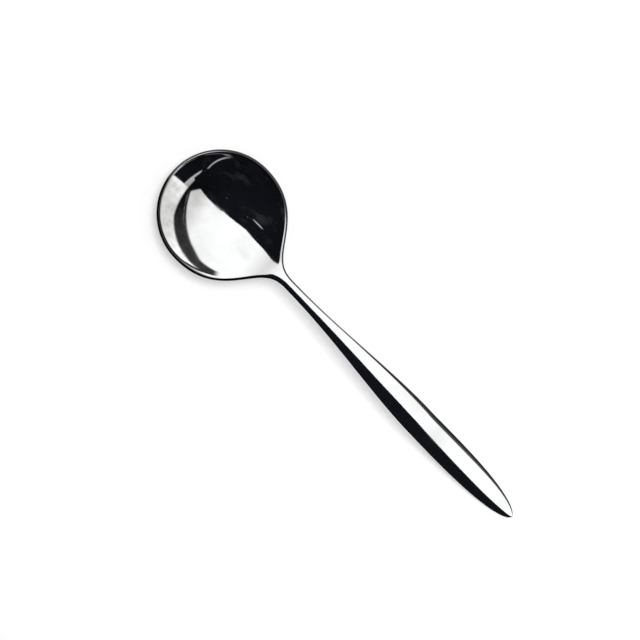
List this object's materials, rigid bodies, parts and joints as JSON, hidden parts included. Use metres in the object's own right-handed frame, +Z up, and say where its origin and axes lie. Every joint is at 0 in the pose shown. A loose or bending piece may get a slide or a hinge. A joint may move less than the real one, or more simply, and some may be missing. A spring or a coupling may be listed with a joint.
{
  "type": "soup spoon",
  "caption": "Round-bowled soup spoon of mirror-polished steel, with a slim neck and an arched, crowned teardrop handle that ends in a blunt round tip.",
  "frame": {"origin": "on the table under the middle of the spoon's length, as it lies with its bowl up", "axes": "+X runs from the tip of the bowl to the end of the handle, +Z is up out of the bowl, and +Y is across to the left as seen from the tip looking along +X"},
  "size_m": [0.176, 0.0466, 0.015],
  "materials": {
    "polished_steel": "mirror-polished stainless steel"
  },
  "bodies": {
    "root": {"bowl": "polished_steel", "handle": "polished_steel"}
  },
  "joints": []
}
